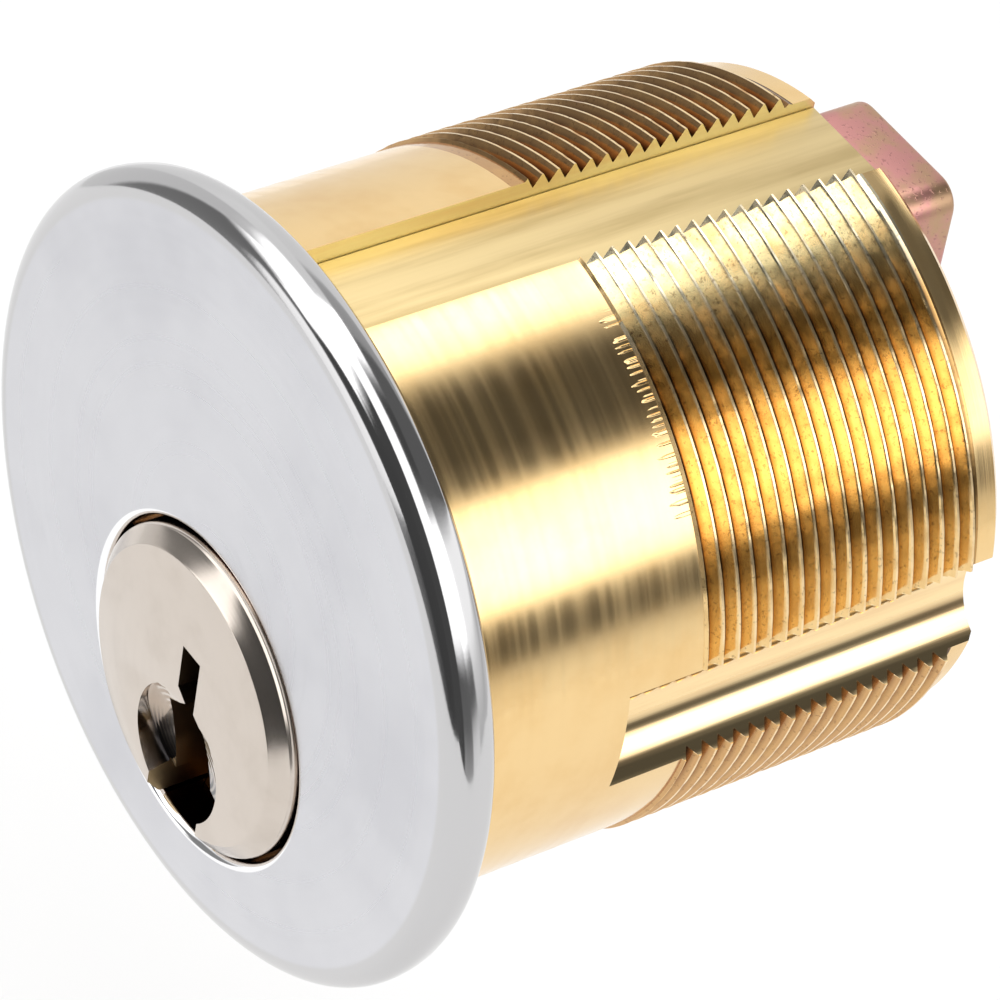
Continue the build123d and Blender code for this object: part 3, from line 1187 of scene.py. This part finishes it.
plug = {
    "radius": 6.35,
    "headRadius": 7.11,
    "faceRadius": 6.35,
    "chamferDepth": 0.72,
    # points round the chamfer's inner and outer corner, as (radius, y) from the corner
    "innerCorner": [(-0.05, 0.0), (0.02, 0.03), (0.07, 0.09)],
    "outerCorner": [(-0.06, -0.12), (-0.02, -0.03), (0.0, 0.08)],
    "headBack": 0.25,
    "backEdge": 0.1,
    "countersink": (0.27, -2.95),
    # a shallow dish, tilted so that it runs deeper towards the plug's edge
    "countersinkOutline": [
        (0, -4.6), (3.0, -4.6), (2.96, -2.8), (2.8, -2.76), (2.3, -2.70), (1.6, -2.64), (0.8, -2.61),
        (0, -2.60),
    ],
    "countersinkTilt": 12.0,
    "countersinkHinge": -0.7,
    "countersinkEnd": -1.3,
    "countersinkReach": 3.2,
    "countersinkWall": 2.8,
    # corners of the keyway from the plug's axis, as (x, z)
    "keyway": [
        (-0.38, 2.5), (0.89, 2.5), (0.95, -0.2), (1.75, -0.65), (1.75, -4.2), (2.3, -4.5),
        (2.3, -12.7), (-1.35, -12.7), (-1.35, -5.15), (-0.95, -5.4), (-0.95, -1.04), (0.32, -0.14),
        (-0.32, 0.31),
    ],
    # heights from the plug's axis between which the chambers run
    "chambers": (-1.3, 8),
    "screwSpacing": 7.8,
    "tapRadius": 1.23,
    "tapLength": 7,
    "tapMiddle": 24.6,
    "steps": 192,
    "dishSteps": 96,
    "tapSteps": 32,
    # how far inside the barrel its bare walls start
    "wallMargin": 0.06,
    "smoothAngle": 25,
}


def plugOutline():
    face = cylinder["plugFace"]
    back = cylinder["plugBack"]
    edge = plug["backEdge"]
    outline = [(0, face)]
    for corner, radius, y in (("innerCorner", plug["faceRadius"], face),
                              ("outerCorner", plug["headRadius"], face + plug["chamferDepth"])):
        outline += [(radius + across, y + along) for across, along in plug[corner]]
    return outline + [
        (plug["headRadius"], plug["headBack"]), (plug["radius"], plug["headBack"]),
        (plug["radius"], back - edge), (plug["radius"] - edge, back), (0, back),
    ]


def paintPlug(piece):
    # 0 plated, 1 bare walls that stand along the axis inside the barrel, 2 the recess in the face
    aside, height = plug["countersink"]
    face = (cylinder["plugFace"] + touch["wall"]) * mm
    end = plug["countersinkEnd"] * mm
    reach, wall = plug["countersinkReach"] * mm, plug["countersinkWall"] * mm
    barrel = (plug["radius"] - plug["wallMargin"]) * mm
    for polygon in piece.data.polygons:
        centre, normal = polygon.center, polygon.normal
        lifted = centre.z + cylinder["plugDrop"] * mm
        inside = abs(normal.y) < 0.3 and math.hypot(centre.x, lifted) < barrel
        fromDish = math.hypot(centre.x - aside * mm, lifted - height * mm)
        dished = face < centre.y < end and fromDish < reach and (normal.y < -0.1 or fromDish > wall)
        polygon.material_index = 2 if dished else 1 if inside else 0


def dishCutter():
    drop = cylinder["plugDrop"]
    aside, height = plug["countersink"]
    dish = turned("countersink", plug["countersinkOutline"], steps=plug["dishSteps"],
                  drop=drop - height, aside=aside)
    hinge = Vector((0, cylinder["plugFace"], plug["countersinkHinge"] - drop)) * mm
    tilt = Matrix.Rotation(math.radians(plug["countersinkTilt"]), 4, "X")
    dish.data.transform(Matrix.Translation(hinge) @ tilt @ Matrix.Translation(-hinge))
    return dish


def tapCutter():
    taps = []
    for side in (-1, 1):
        place = Vector((side * plug["screwSpacing"] / 2, plug["tapMiddle"], -cylinder["plugDrop"])) * mm
        tap = startPiece("tap", bpy.ops.mesh.primitive_cylinder_add, vertices=plug["tapSteps"],
                         radius=plug["tapRadius"] * mm, depth=plug["tapLength"] * mm,
                         rotation=(math.pi / 2, 0, 0), location=place)
        settle(tap)
        taps.append(tap)
    return joined(taps)


def makePlug():
    drop = cylinder["plugDrop"]
    piece = turned("plugBarrel", plugOutline(), steps=plug["steps"], drop=drop)
    corners = [(x, z - drop) for x, z in plug["keyway"]]
    cutAway(piece, plate("keyway", corners, cylinder["plugFace"] - 1, cylinder["plugBack"] + 1))
    cutAway(piece, dishCutter())
    low, high = plug["chambers"]
    cutAway(piece, chamberCutter(low - drop, high - drop))
    cutAway(piece, tapCutter())
    for material in (nickelPlate, keywayBrass, dishNickel):
        piece.data.materials.append(material)
    paintPlug(piece)
    smoothByAngle(piece, plug["smoothAngle"])
    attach(piece, "plug")
    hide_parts("plug")


makePlug()
print("plug made")


# Cam

cam = {
    "hubRadius": 7.6,
    "reach": 18.2,
    "tipHalf": 3.55,
    "rootHalf": 4.0,
    "cornerRound": 1.2,
    "cornerSteps": 10,
    # how much narrower than its root the tail is where it meets the hub
    "footInset": 0.13,
    "hubSteps": 96,
    "low": 26.9,
    "high": 29.8,
    "edge": 0.25,
    # outlines that are cut for each screw, as (radius, y)
    "screwHoles": [
        [(0, 27.4), (1.26, 27.4), (1.26, 28.64), (2.21, 29.8), (2.3, 30.0), (0, 30.0)],
        [(0, 26), (1.26, 26), (1.26, 28), (0, 28)],
    ],
    "holeSteps": 64,
    "smoothAngle": 35,
}


def camOutline():
    # from the right foot of the tail up its side, over the tip and down, then round the hub
    drop = cylinder["plugDrop"]
    corner = cam["cornerRound"]
    lean = math.atan2(cam["rootHalf"] - cam["tipHalf"], cam["reach"])
    centreX = cam["tipHalf"] - corner + corner * math.tan(lean)
    centreZ = cam["reach"] - corner
    footX = cam["rootHalf"] - cam["footInset"]
    footZ = math.sqrt(cam["hubRadius"] ** 2 - footX ** 2)
    right = [(footX, footZ)]
    right += arcPoints((centreX, centreZ), corner, math.degrees(lean), 90, cam["cornerSteps"])
    left = [(-x, z) for x, z in reversed(right)]
    footAngle = math.degrees(math.atan2(footZ, -footX))
    endAngle = math.degrees(math.atan2(footZ, footX)) + 360
    hub = arcPoints((0, 0), cam["hubRadius"], footAngle, endAngle, cam["hubSteps"])[1:-1]
    return [(x, z - drop) for x, z in right + left + hub]


def makeCam():
    drop = cylinder["plugDrop"]
    piece = plate("camPlate", camOutline(), cam["low"], cam["high"])
    roundEdges(piece, cam["edge"])
    for side in (-1, 1):
        for outline in cam["screwHoles"]:
            cutAway(piece, turned("screwHole", outline, steps=cam["holeSteps"], drop=drop,
                                  aside=side * plug["screwSpacing"] / 2))
    piece.data.materials.append(yellowZinc)
    smoothByAngle(piece, cam["smoothAngle"])
    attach(piece, "plug")
    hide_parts("cam")


makeCam()
print("cam made")


# Pins, springs and screws keep their CAD shapes and take their finishes

dressed = {
    "bottom_pin": shadedPinBrass,
    "driver_pin": shadedPinBrass,
    "pin_spring": springSteel,
    "cam_screw": screwSteel,
}


def dressNodes():
    for name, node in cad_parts.items():
        for start, material in dressed.items():
            if name.startswith(start):
                node.data.materials.clear()
                node.data.materials.append(material)


dressNodes()
